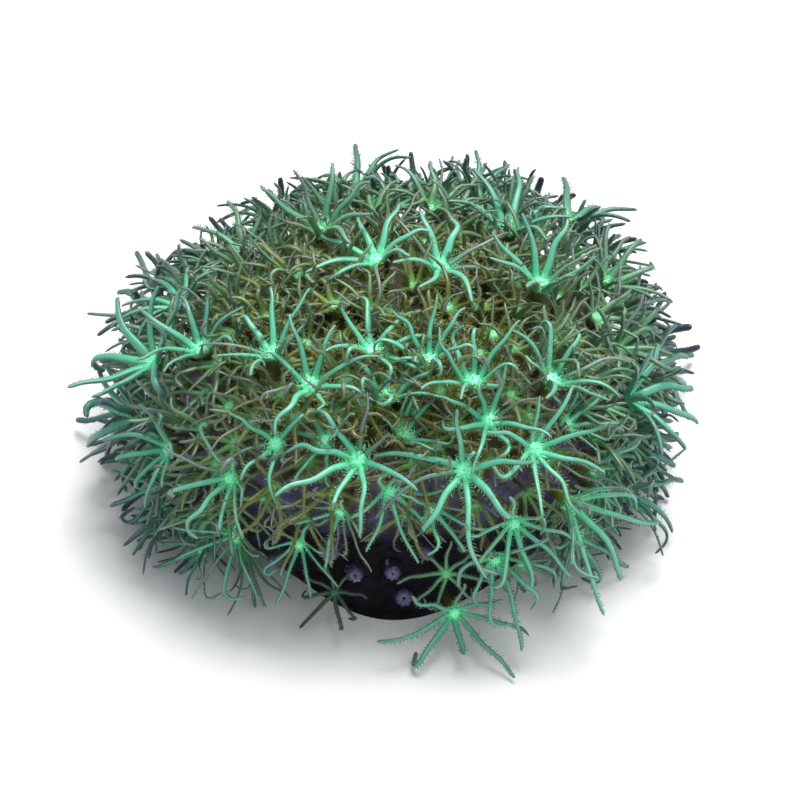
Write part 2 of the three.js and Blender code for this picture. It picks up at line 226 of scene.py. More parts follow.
def fill_spiral(placed, kind, most, tries):
    """New polyps along a golden-angle spiral, each at its spacing from all those placed before it."""
    found = []
    for i in range(tries):
        azimuth = (i * GOLDEN_ANGLE) % 360
        down = LOWEST_POLYP * math.sqrt((i + 0.5) / tries)
        place = place_at((azimuth, down, between(i, 11, 0.8, 1.08)), kind)
        roots = np.array([other["root"] for other in placed + found])
        small = kind in (SMALL, BUD)
        closer = small and down > FRONT_BELOW and FRONT_FROM < azimuth < FRONT_TO
        spacing = kind["spacing"] * (CLOSER_AT_FRONT if closer else 1)
        far = np.linalg.norm(roots - place["root"], axis=1).min() >= spacing
        bare = down > BARE_BELOW and BARE_FROM < azimuth < BARE_TO
        if small:
            bare = bare or down > OPEN_BELOW and OPEN_FROM < azimuth < OPEN_TO
        if far and not bare and len(found) < most:
            found.append(place)
    return found


def crowding(polyp, polyps):
    """Which way a polyp is pushed by its neighbours."""
    roots = np.array([other["root"] for other in polyps if other is not polyp])
    apart = polyp["root"] - roots
    share = np.maximum(0, 1 - np.linalg.norm(apart, axis=1) / CROWD_REACH)
    return (unit(apart) * share[:, None]).sum(axis=0)


def raise_polyp(polyp, index, polyps):
    """A stalk leaves the mat square to it, then leans up and away from its neighbours to face along axis."""
    kind, root, size = polyp["kind"], polyp["root"], polyp["size"]
    normal = mound_normal(polyp["azimuth"], polyp["down"])
    stray = np.array([between(index, 1, -1, 1), between(index, 2, -1, 1), 0])
    push = crowding(polyp, polyps)
    axis = unit(normal + UP * UPWARD_LEAN + stray * STRAY_LEAN + push * CROWD_LEAN)
    stalk = kind["stalk"] * size * between(index, 3, 0.88, 1.12)
    across = np.cross(UP, axis)
    across = unit(across) if np.linalg.norm(across) >= 0.05 else np.array([1.0, 0.0, 0.0])
    polyp.update(
        index=index, normal=normal, axis=axis, across=across, along=unit(np.cross(axis, across)),
        bend=root + normal * stalk / 2, centre=root + (normal + axis) * stalk / 2,
        turn=between(index, 4, 0, 360 / TENTACLES),
        rise=between(index, 5, LEAST_RISE, MOST_RISE) + RISE_ON_TOP * (1 - polyp["down"] / LOWEST_POLYP),
        droop=between(index, 6, LEAST_DROOP, MOST_DROOP), reach=kind["reach"] * size,
        slim=1 - (1 - SLIMMEST) * float(step_up(polyp["down"], SLIM_FROM, SLIM_TO)),
    )


# Ways for a tentacle to lie: the share of its length, its lift and its swing. The first is its own way.
WAYS = [
    np.array([(share, lift, swing) for lift in (0, 12, -12, 24, 36) for swing in (0, 9, -9, 18, -18)])
    for share in (1, 0.9, 0.8, 0.7, 0.6, 0.5, 0.4, 0.3)
]
OWN_WAY = WAYS[0][:1]


def outward_of(polyp, angle):
    return polyp["across"] * math.cos(angle) + polyp["along"] * math.sin(angle)


def tentacle_curves(polyp, k, ways):
    """Root, control and tip points of a tentacle's curve, one row for each way."""
    number = polyp["index"] * TENTACLES + k
    axis = polyp["axis"]
    outward = outward_of(polyp, math.radians(polyp["turn"] + k * 360 / TENTACLES))
    share, lift, swing = ways.T[..., None]
    swing = np.radians(swing)
    swung = outward * np.cos(swing) + np.cross(axis, outward) * np.sin(swing)
    rise = np.radians(polyp["rise"] + lift + between(number, 8, -9, 9))
    reach = polyp["reach"] * share * between(number, 9, 0.86, 1.1)
    droop = polyp["droop"] * between(number, 10, 0.6, 1.4)
    root = polyp["centre"] + outward * polyp["kind"]["hub"] * polyp["slim"]
    control = root + 0.5 * reach * (swung * np.cos(rise) + axis * np.sin(rise))
    tip = root + reach * (swung * np.cos(TIP_RISE * rise) + axis * np.sin(TIP_RISE * rise) - UP * droop)
    return np.broadcast_to(root, tip.shape), control, tip


def bezier(curve, t):
    root, control, tip = curve
    t = np.asarray(t, float)[..., None]
    return (1 - t) ** 2 * root + 2 * t * (1 - t) * control + t * t * tip


BEADS = 9
BEAD_PLACES = np.arange(1, BEADS + 1) / BEADS
BEAD_RADII = 0.62 - 0.4 * BEAD_PLACES**2
BEAD_FREE = BEAD_PLACES > 0.45


def beads_along(curves):
    """Balls along tentacles, which stand for them when room is looked for: a row of them for each way."""
    root, control, tip = curves
    middle = root / 4 + control / 2 + tip / 4
    t = BEAD_PLACES[:, None]
    inner = root[:, None] + (middle - root)[:, None] * 2 * t
    outer = middle[:, None] + (tip - middle)[:, None] * (2 * t - 1)
    return np.where(t < 0.5, inner, outer)


class Room:
    """The balls that stand for all that is placed so far, between which a tentacle looks for room."""

    def __init__(self):
        self.points = np.empty((0, 3))
        self.radii = np.empty(0)
        self.owners = np.empty(0, int)
        self.free = np.empty(0, bool)

    def take(self, points, radii, owner, free):
        count = len(points)
        self.points = np.concatenate([self.points, points])
        self.radii = np.concatenate([self.radii, np.broadcast_to(radii, count)])
        self.owners = np.concatenate([self.owners, np.full(count, owner)])
        self.free = np.concatenate([self.free, np.broadcast_to(free, count)])

    def left_beside(self, beads, polyp):
        """The least room round rows of beads. A tentacle's root may touch its own polyp."""
        radii = BEAD_RADII * polyp["slim"]
        near = np.linalg.norm(self.points - polyp["centre"], axis=1) < 1.5 * polyp["reach"] + 3
        points = self.points[near]
        own = self.owners[near] == polyp["index"]
        ignored = own & ~(BEAD_FREE[:, None] & self.free[near])
        flat = beads.reshape(-1, 3)
        squares = (flat**2).sum(axis=1)[:, None] + (points**2).sum(axis=1) - 2 * flat @ points.T
        apart = np.sqrt(np.maximum(squares, 0)).reshape(*beads.shape[:2], -1)
        apart -= radii[:, None] + self.radii[near] + TENTACLE_GAP
        room = np.where(ignored, np.inf, apart).min(axis=(1, 2))
        room = np.minimum(room, (beads[..., 2] - FLOOR_GAP - radii).min(axis=1))
        off_mat = np.where(BEAD_FREE, above_mound(beads) - TENTACLE_GAP - radii, np.inf)
        return np.minimum(room, off_mat.min(axis=1))


def settle_tentacles(polyp, room, sets):
    """A tentacle takes the first way in the sets that has room, or else the roomiest."""
    polyp["curves"] = []
    for k in range(TENTACLES):
        most = -np.inf
        for ways in sets:
            curves = tentacle_curves(polyp, k, ways)
            beads = beads_along(curves)
            left = room.left_beside(beads, polyp)
            first = int(np.argmax(left > 0)) if left.max() > 0 else int(np.argmax(left))
            if left[first] > most:
                most = left[first]
                settled = tuple(part[first] for part in curves)
                settled_beads = beads[first]
            if most > 0:
                break
        polyp["curves"].append(settled)
        room.take(settled_beads, BEAD_RADII * polyp["slim"], polyp["index"], BEAD_FREE)


def take_stalk(polyp, room):
    for t in (0, 0.25, 0.5, 0.75, 1):
        radius = polyp["slim"] * polyp["kind"]["foot" if t < 1 else "hub"]
        point = polyp["root"] + t * (polyp["centre"] - polyp["root"])
        room.take([point], radius, polyp["index"], False)


seen_open = [place_at(place, OPEN) for place in SEEN_OPEN]
seen_young = [place_at(place, YOUNG) for place in SEEN_YOUNG]
for polyp in seen_open:
    polyp["glow"] = 1.0
unseen = MOST_OPEN - len(seen_open)
open_polyps = seen_open + fill_spiral(seen_open + seen_young, OPEN, unseen, OPEN_TRIES)
young_polyps = seen_young + fill_spiral(open_polyps + seen_young, YOUNG, MOST_YOUNG, YOUNG_TRIES)
polyps = open_polyps + young_polyps
lumps = [
    {
        "size": LUMP_SIZE * between(index, 20, 0.8, 1.2),
        "root": mound_point(azimuth, down),
        "normal": mound_normal(azimuth, down),
    }
    for index, (azimuth, down) in enumerate(LUMPS)
]
NOBODY = -1
room = Room()
for lump in lumps:
    room.take([lump["root"]], lump["size"], NOBODY, False)
for index, polyp in enumerate(polyps):
    raise_polyp(polyp, index, polyps)
for polyp in polyps:
    take_stalk(polyp, room)
for polyp in polyps:
    settle_tentacles(polyp, room, WAYS)

# Small polyps between the open ones, and buds low down between them all
small_polyps = fill_spiral(polyps + lumps, SMALL, MOST_SMALL, SMALL_TRIES)
for index, polyp in enumerate(small_polyps, start=len(polyps)):
    raise_polyp(polyp, index, polyps + small_polyps)
    polyp["rise"] = between(index, 5, 25, 70)
    take_stalk(polyp, room)
for polyp in small_polyps:
    settle_tentacles(polyp, room, WAYS[:1])

standing = polyps + small_polyps
buds = fill_spiral(standing + lumps, BUD, MOST_BUDS, SMALL_TRIES)
for index, bud in enumerate(buds, start=len(standing)):
    raise_polyp(bud, index, buds + standing)
    bud["rise"] = between(index, 5, 45, 75)
    bud["curves"] = []
    for k in range(TENTACLES):
        bud["curves"].append(tuple(part[0] for part in tentacle_curves(bud, k, OWN_WAY)))


# Mesh making

class Shape:
    """Closed forms of triangles, gathered into one mesh. Its points carry the numbers that finishes read."""

    # Place along the form, side or height across it, a tone by chance, and how blue, dull and dark it is.
    # Bluer is darker too, partly painted shade, and dark is painted shade.
    NUMBERS = ("place", "side", "tone", "cool", "dull", "dark")

    def __init__(self):
        self.points = []
        self.faces = []
        self.finishes = []
        self.numbers = {name: [] for name in self.NUMBERS}
        self.count = 0

    def add(self, points, faces, finish, **numbers):
        self.points.append(points)
        self.faces.append(faces + self.count)
        self.finishes.append(np.full(len(faces), finish))
        for name in self.NUMBERS:
            self.numbers[name].append(np.broadcast_to(numbers.get(name, 0.0), len(points)))
        self.count += len(points)

    def make(self, name, finishes, replaced):
        """One mesh object, in metres, that rides on the colony's body and stands for the CAD nodes."""
        points = np.concatenate(self.points).astype(np.float32) * METRE
        faces = np.concatenate(self.faces).astype(np.int32)
        mesh = bpy.data.meshes.new(name)
        mesh.vertices.add(len(points))
        mesh.vertices.foreach_set("co", points.ravel())
        mesh.loops.add(3 * len(faces))
        mesh.loops.foreach_set("vertex_index", faces.ravel())
        mesh.polygons.add(len(faces))
        mesh.polygons.foreach_set("loop_start", np.arange(len(faces), dtype=np.int32) * 3)
        mesh.polygons.foreach_set("material_index", np.concatenate(self.finishes).astype(np.int32))
        mesh.update(calc_edges=True)
        mesh.shade_smooth()
        for number, parts in self.numbers.items():
            layer = mesh.attributes.new(number, "FLOAT", "POINT")
            layer.data.foreach_set("value", np.concatenate(parts).astype(np.float32))
        for finish in finishes:
            mesh.materials.append(finish)
        piece = bpy.data.objects.new(name, mesh)
        bpy.context.scene.collection.objects.link(piece)
        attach(piece, "root")
        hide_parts(*replaced)


@functools.lru_cache(maxsize=None)
def tube_faces(rings, sides):
    """Triangles of a closed tube whose points are its rings, then a point in each end."""
    faces = []
    for ring in range(rings - 1):
        for j in range(sides):
            a, b = ring * sides + j, ring * sides + (j + 1) % sides
            faces += [(a, b, b + sides), (a, b + sides, a + sides)]
    start, end = rings * sides, rings * sides + 1
    last = (rings - 1) * sides
    for j in range(sides):
        following = (j + 1) % sides
        faces += [(start, following, j), (end, last + j, last + following)]
    return np.array(faces)


def closed_tube(rings):
    """Points and triangles of a closed tube through rings of points, an array of rings by sides by 3."""
    count, sides, _ = rings.shape
    ends = np.stack([rings[0].mean(axis=0), rings[-1].mean(axis=0)])
    return np.concatenate([rings.reshape(-1, 3), ends]), tube_faces(count, sides)


def per_point(per_ring, sides):
    """One number for each ring becomes one for each of a closed tube's points."""
    return np.concatenate([np.repeat(per_ring, sides), [per_ring[0], per_ring[-1]]])


# A tentacle: a soft flattened arm with a row of short branches, the pinnules, along each side.

STALK, TENTACLE, PINNULE = range(3)
ARM_WIDTH = 1.0
ARM_DEPTH = 0.64
# A curled arm needs a little more length than its solid's to reach as far.
ARM_REACH = 1.1
FRONT_GIRTH = 1.06
SIDE_GIRTH = 1.3
# Arms whose tone is over this are thin and violet.
THIN_ARMS = 0.8
THINNEST = 0.62
# The share of its width that an arm high up loses towards its tip, and how much less one low down loses.
NARROWING = 0.66
LESS_LOW_DOWN = 0.34
# Where an arm's rounded tip begins along it, and how long it is.
BLUNT_FROM = 0.94
BLUNT_LENGTH = 0.06
# Degrees that hooked arms and the others turn through, and where along them that begins.
HOOK = (75, 165)
HOOK_FROM = 0.66
BEND = (2, 38)
BEND_FROM = 0.3
# The share of arms that are hooked at the back, and how many more are at the front.
HOOKED = 0.1
MORE_AT_FRONT = 0.32
PINNULE_LENGTH = 0.95
PINNULE_WIDTH = 0.12
PINNULE_SPACING = 0.4
# Small polyps and buds have this share of the pinnules.
FEWER_PINNULES = 0.7
FEWEST_PINNULES = 4
LEAST_HEIGHT = 0.05
# Arms are olive below the first of these heights over the mat, and have lost that past the second.
OLIVE_BELOW = 4.5
CLEAR_ABOVE = 9.5


def facing_front(polyp):
    return float(step_up(-np.sin(np.radians(polyp["azimuth"])), 0.15, 0.75))


def girth_of(polyp):
    """How thick a polyp's arms are: slimmest low at the front, and stout at the sides and the back."""
    front = facing_front(polyp)
    return polyp["slim"] * FRONT_GIRTH * front + SIDE_GIRTH * (1 - front)


def rotated(vectors, axis, angles):
    """Rows of vectors, each turned round the axis by its angle."""
    cosine, sine = np.cos(angles)[:, None], np.sin(angles)[:, None]
    along_axis = axis * (vectors @ axis)[:, None]
    return vectors * cosine + np.cross(axis, vectors) * sine + along_axis * (1 - cosine)


def arm_line(polyp, k, steps):
    """Points along a tentacle from inside the crown to its tip, waved and curled, and its left at each."""
    number = polyp["index"] * TENTACLES + k
    curve = polyp["curves"][k]
    size = polyp["reach"] / OPEN["reach"]
    t = ARM_REACH * (1 - (1 - np.linspace(0, 1, steps)) ** 1.3)
    line = bezier(curve, t)
    outward = outward_of(polyp, math.radians(polyp["turn"] + k * 360 / TENTACLES))
    left = np.cross(polyp["axis"], outward)
    wave = between(number, 12, 0.1, 0.5) * size
    waves = between(number, 13, 0.6, 1.6)
    start = between(number, 14, 0, 2 * math.pi)
    line += left * (wave * t * np.sin(2 * math.pi * waves * t + start))[:, None]
    hooked = chance(number, 18) < HOOKED + MORE_AT_FRONT * facing_front(polyp)
    most = between(number, 15, *(HOOK if hooked else BEND))
    hand = 1 if chance(number, 23) < 0.7 else -1
    sway = math.radians(between(number, 24, -70, 70))
    axis = unit(left * math.cos(sway) + polyp["axis"] * math.sin(sway)) * hand
    angles = math.radians(most) * step_up(t, HOOK_FROM if hooked else BEND_FROM, 1.02)
    steps_along = rotated(np.diff(line, axis=0), axis, angles[1:])
    line = np.concatenate([line[:1], line[0] + np.cumsum(steps_along, axis=0)])
    lefts = rotated(np.broadcast_to(left, line.shape), axis, angles)
    line[:, 2] = np.maximum(line[:, 2], FLOOR_GAP)
    hub = polyp["kind"]["hub"] * polyp["slim"]
    inner = polyp["centre"] + outward * hub * 0.5 - polyp["axis"] * 0.12
    return np.concatenate([[inner], line]), np.concatenate([[left], lefts])


def add_arm(shape, polyp, k, steps, sides, numbers):
    """One tentacle and its pinnules. High up it is broad and ends in a point, low down slim and blunt."""
    number = polyp["index"] * TENTACLES + k
    size = polyp["size"] * (polyp["kind"]["reach"] / OPEN["reach"]) ** 0.5
    line, left = arm_line(polyp, k, steps)
    ahead = unit(np.gradient(line, axis=0))
    above = unit(np.cross(ahead, left))
    side = np.cross(above, ahead)
    length = np.concatenate([[0], np.cumsum(np.linalg.norm(np.diff(line, axis=0), axis=1))])
    t = length / length[-1]
    blunt = np.sqrt(np.clip(1 - ((t - BLUNT_FROM) / BLUNT_LENGTH).clip(0, 1) ** 2, 0.05, 1))
    tone = chance(number, 16)
    thin = THINNEST if tone > THIN_ARMS else between(number, 19, 0.82, 1.06)
    low = float(step_up(polyp["down"], SLIM_FROM, SLIM_TO))
    narrowed = 1 - (NARROWING - LESS_LOW_DOWN * low) * t**1.2
    taper = narrowed * blunt * size * thin * girth_of(polyp)
    angle = np.arange(sides) * 2 * math.pi / sides
    wide = (ARM_WIDTH / 2 * taper)[:, None, None] * np.cos(angle)[:, None] * side[:, None]
    deep = (ARM_DEPTH / 2 * taper)[:, None, None] * np.sin(angle)[:, None] * above[:, None]
    points, faces = closed_tube(line[:, None] + wide + deep)
    facing = np.concatenate([np.tile(0.5 + 0.5 * np.sin(angle), len(line)), [0.5, 0.5]])
    buried = (1 - step_up(above_mound(line), OLIVE_BELOW, CLEAR_ABOVE)) * (1 - polyp.get("glow", 0))
    shape.add(
        points, faces, TENTACLE, place=per_point(t, sides), side=facing, tone=tone,
        **{**numbers, "dull": per_point(np.maximum(numbers["dull"], buried), sides)},
    )
    rows = np.hstack([line, side, above, ahead, taper[:, None]])
    add_pinnules(shape, polyp, number, t, rows, length[-1], size, numbers)


# A spike is a bent three-sided branch: a ring at its foot, one at its knee, and its tip.
SPIKE_FACES = np.array(
    [(2, 1, 0)]
    + [(j, (j + 1) % 3, 3 + (j + 1) % 3) for j in range(3)]
    + [(j, 3 + (j + 1) % 3, 3 + j) for j in range(3)]
    + [(3 + j, 3 + (j + 1) % 3, 6) for j in range(3)]
)
# A straight spike, for polyps that stand deep between others, has no knee.
STRAIGHT_FACES = np.array([(2, 1, 0), (0, 1, 3), (1, 2, 3), (2, 0, 3)])


def add_spikes(shape, finish, feet, knees, tips, width, bent, **numbers):
    """Small branches, one for each row of feet. Numbers have one value for each branch."""
    way = unit(knees - feet)
    across = unit(np.cross(way, np.where(np.abs(way[:, 2:]) > 0.8, (1.0, 0.0, 0.0), UP)))
    along = np.cross(way, across)
    rings = []
    for centre, radius in ((feet, width / 2), (knees, width * 0.42))[:1 + bent]:
        for angle in np.arange(3) * 2 * math.pi / 3:
            rings.append(centre + (across * math.cos(angle) + along * math.sin(angle)) * radius)
    points = np.stack(rings + [tips], axis=1)
    points[..., 2] = np.maximum(points[..., 2], LEAST_HEIGHT)
    faces = SPIKE_FACES if bent else STRAIGHT_FACES
    count = points.shape[1]
    starts = np.arange(len(feet)) * count
    for name, value in numbers.items():
        numbers[name] = np.repeat(np.broadcast_to(value, len(feet)), count)
    out = np.array([0, 0, 0, 0.6, 0.6, 0.6, 1.0] if bent else [0, 0, 0, 1.0])
    shape.add(
        points.reshape(-1, 3), (faces + starts[:, None, None]).reshape(-1, 3), finish,
        side=np.tile(out, len(feet)), **numbers,
    )


def add_pinnules(shape, polyp, number, t, rows, length, size, numbers):
    random = np.random.default_rng(number + 1)
    fine = polyp["kind"] in (OPEN, YOUNG)
    count = max(FEWEST_PINNULES, int(length / PINNULE_SPACING * (1 if fine else FEWER_PINNULES)))
    places = np.repeat(np.linspace(0.08, 0.97, count), 2) + random.uniform(-0.01, 0.01, 2 * count)
    hand = np.tile([1.0, -1.0], count)[:, None]
    between_rows = np.stack([np.interp(places, t, row) for row in rows.T], axis=1)
    middle, side, above, ahead, taper = np.split(between_rows, (3, 6, 9, 12), axis=1)
    swell = np.sin(math.pi * np.clip(places * 0.8 + 0.16, 0, 1)) ** 0.6
    grown = PINNULE_LENGTH * size * polyp["slim"] ** 1.5
    long = (grown * swell * random.uniform(0.6, 1.25, 2 * count))[:, None]
    lift = random.uniform(-0.2, 0.9, (2 * count, 1))
    lean = random.uniform(0.1, 0.7, (2 * count, 1))
    way = unit(hand * side + ahead * lean + above * lift)
    feet = middle + hand * side * taper * ARM_WIDTH * 0.36
    knees = feet + way * long * 0.55
    stray = above * random.uniform(-0.6, 0.6, (2 * count, 1))
    tips = knees + unit(way + ahead * 0.35 + stray) * long * 0.5
    add_spikes(
        shape, PINNULE, feet, knees, tips, PINNULE_WIDTH, polyp["kind"] is OPEN,
        place=places, tone=random.uniform(0, 1, 2 * count), **numbers,
    )


# A stalk and its crown's disc, as one closed form: rings up the bent stalk, over the rim and to the mouth

STALK_RINGS = 9
# The disc from its rim to the mouth: share of the crown's radius, and height over it.
DISC = [
    (1.0, -0.28), (1.05, -0.08), (1.0, 0.1), (0.82, 0.24), (0.6, 0.33), (0.42, 0.38), (0.28, 0.42),
    (0.17, 0.38), (0.07, 0.26),
]
SUNK = 0.9
CROWN_SPIKES = 60


def add_stalk(shape, polyp, sides, numbers):
    kind, size = polyp["kind"], polyp["size"]
    hub = kind["hub"] * size * polyp["slim"] * 0.9
    s = np.linspace(0, 1, STALK_RINGS)
    up = bezier((polyp["root"] - polyp["normal"] * SUNK, polyp["bend"], polyp["centre"]), s)
    neck = 0.52 + 0.06 * np.sin(5 * s + polyp["index"])
    flare = kind["foot"] * polyp["slim"] * 0.35 * (1 - s) ** 4
    radii = hub * (neck + (0.94 - neck) * step_up(s, 0.55, 0.98)) + flare
    disc = np.array(DISC)
    centres = np.concatenate([up[:-1], polyp["centre"] + polyp["axis"] * (disc[:, 1:] * hub)])
    radii = np.concatenate([radii[:-1], disc[:, 0] * hub])
    angle = np.arange(sides) * 2 * math.pi / sides
    lobes = np.cos(TENTACLES * (angle - math.radians(polyp["turn"])))
    rim = np.concatenate([0.03 + 0.04 * s[:-1], [0.09, 0.13, 0.16, 0.16, 0.12, 0.06, 0.03, 0.02, 0]])
    radius = radii[:, None] * (1 + rim[:, None] * lobes)
    rings = (
        centres[:, None]
        + (radius * np.cos(angle))[..., None] * polyp["across"]
        + (radius * np.sin(angle))[..., None] * polyp["along"]
    )
    rings[..., 2] = np.maximum(rings[..., 2], LEAST_HEIGHT)
    points, faces = closed_tube(rings)
    rise = np.concatenate([s[:-1] * 0.6, np.linspace(0.62, 1, len(DISC))])
    ridge = np.concatenate([np.tile(0.5 + 0.5 * lobes, len(centres)), [0.5, 0.5]])
    tone = chance(polyp["index"], 17)
    shape.add(points, faces, STALK, place=per_point(rise, sides), side=ridge, tone=tone, **numbers)


def add_crown_spikes(shape, polyp, count, numbers):
    """Short bright pinnules that stand round the mouth, where the tentacles begin."""
    random = np.random.default_rng(polyp["index"] + 1000)
    size = polyp["size"] * (polyp["kind"]["reach"] / OPEN["reach"]) ** 0.5
    angle = random.uniform(0, 2 * math.pi, (count, 1))
    outward = polyp["across"] * np.cos(angle) + polyp["along"] * np.sin(angle)
    hub = polyp["kind"]["hub"] * polyp["size"] * polyp["slim"]
    share = random.uniform(0.05, 1.7, (count, 1)) ** 0.7
    feet = polyp["centre"] + outward * share * hub * 0.9 + polyp["axis"] * hub * (0.28 - 0.2 * share)
    long = random.uniform(0.3, 0.9, (count, 1)) * hub
    way = polyp["axis"] * random.uniform(0.2, 1.1, (count, 1)) + outward
    way = unit(way + random.normal(0, 0.45, (count, 3)))
    knees = feet + way * long * 0.5
    tips = knees + unit(way + random.normal(0, 0.4, (count, 3))) * long * 0.5
    add_spikes(
        shape, PINNULE, feet, knees, tips, 0.16 * size, polyp["kind"] is OPEN,
        place=random.uniform(0, 0.1, count), tone=random.uniform(0, 1, count), **numbers,
    )


def shades(polyp):
    """How blue a polyp is, at the sides, the back and low down, with darker colour there that is partly
    painted shade; how dull by its kind; and how dark, which is painted shade on the lowest young polyps.
    """
    kind, down, facing = polyp["kind"], polyp["down"], np.sin(np.radians(polyp["azimuth"]))
    beside = 1 - step_up(-facing, 0.35, 0.9)
    # Bluer and darker at the sides, the back and low down: partly the colony's own blue, partly painted
    # shade.
    cool = 0.04 + 0.5 * step_up(down, 26, 41) + 0.5 * beside * step_up(down, 12, 27)
    cool = min(1, cool + 0.38 * step_up(facing, 0, 0.9) * step_up(down, 4, 18))
    dull = (kind["dull"] + between(polyp["index"], 22, 0, 0.25)) * (1 - polyp.get("glow", 0))
    # Painted shade on the lowest young polyps.
    dark = 0.8 * float(step_up(down, 40, 43)) if kind is YOUNG else 0.0
    return {"cool": float(cool), "dull": dull, "dark": dark}


def add_polyp(shape, polyp, steps, arm_sides, stalk_sides):
    numbers = shades(polyp)
    add_stalk(shape, polyp, stalk_sides, numbers)
    add_crown_spikes(shape, polyp, int(CROWN_SPIKES * polyp["kind"]["hub"] / OPEN["hub"]), numbers)
    for k in range(TENTACLES):
        add_arm(shape, polyp, k, steps, arm_sides, numbers)


# The mat: the mound's skin, drawn up round the foot of every polyp, creased, and closed by its flat cut.

MAT_SECTORS = 260
MAT_BANDS = 96
COLLAR_HEIGHT = 0.8


def add_mat(shape):
    azimuth, down = np.meshgrid(
        np.arange(MAT_SECTORS) * 360 / MAT_SECTORS, np.linspace(0.3, SKIN_LENGTH, MAT_BANDS)
    )
    points = mound_point(azimuth, down)
    normals = mound_normal(azimuth, down)
    raised = 0.28 * ripple(points, 5.5, 3) + 0.13 * ripple(points, 1.8, 4) + 0.05 * ripple(points, 0.8, 5)
    collars = np.zeros(azimuth.shape)
    for foot in standing + buds:
        wide = foot["kind"]["foot"] * 1.25
        apart = np.linalg.norm(points - foot["root"], axis=-1)
        collars = np.maximum(collars, np.exp(-((apart / wide) ** 2)) * wide / 1.5)
    raised += COLLAR_HEIGHT * collars
    settled = step_up(SKIN_LENGTH - down, 0, 2.5)
    points = points + normals * (raised * settled)[..., None]
    points[..., 2] = np.maximum(points[..., 2], 0)
    points[-1, :, 2] = 0
    tube, faces = closed_tube(points[:, ::-1])
    share = np.concatenate([(down / SKIN_LENGTH).ravel(), [0, 1]])
    front = np.concatenate([step_up(-np.sin(np.radians(azimuth[:, ::-1])), 0.3, 0.95).ravel(), [0, 1]])
    height = np.concatenate([collars[:, ::-1].ravel(), [0, 0]])
    shape.add(tube, faces, 0, place=share, side=height, tone=front, cool=0.3)


def add_lump(shape, lump, number):
    """A closed polyp: a knob that rises out of the mat, with eight folds drawn in to a pit."""
    size, normal = lump["size"], lump["normal"]
    across = unit(np.cross(normal, UP))
    along = np.cross(normal, across)
    sides = 32
    angle = np.arange(sides) * 2 * math.pi / sides
    knob = np.array([
        (1.45, -0.7), (1.35, -0.2), (1.12, 0.1), (0.98, 0.35), (0.95, 0.6), (0.88, 0.85), (0.72, 1.05),
        (0.5, 1.14), (0.32, 1.1), (0.18, 0.95), (0.06, 0.7),
    ])
    folds = np.array([0, 0.01, 0.02, 0.03, 0.04, 0.07, 0.12, 0.18, 0.22, 0.2, 0])[:, None]
    lobes = np.cos(TENTACLES * angle + number)
    radius = knob[:, :1] * size * 0.82 * (1 + folds * lobes)
    lift = knob[:, 1:] * size + 0.1 * size * folds * 4 * lobes
    rings = (
        lump["root"]
        + (radius * np.cos(angle))[..., None] * across
        + (radius * np.sin(angle))[..., None] * along
        + lift[..., None] * normal
    )
    rings[..., 2] = np.maximum(rings[..., 2], LEAST_HEIGHT)
    points, faces = closed_tube(rings[:, ::-1])
    share = per_point(np.linspace(0, 1, len(knob)), sides)
    shape.add(points, faces, 1, place=share, side=0.5, tone=chance(number, 21), cool=0.3)


# Finishes

def srgb(red, green, blue):
    """A colour as a screen shows it, from 0 to 255, in the linear values that Blender works in."""
    shares = np.array([red, green, blue]) / 255
    linear = np.where(shares <= 0.04045, shares / 12.92, ((shares + 0.055) / 1.055) ** 2.4)
    return (*linear, 1.0)


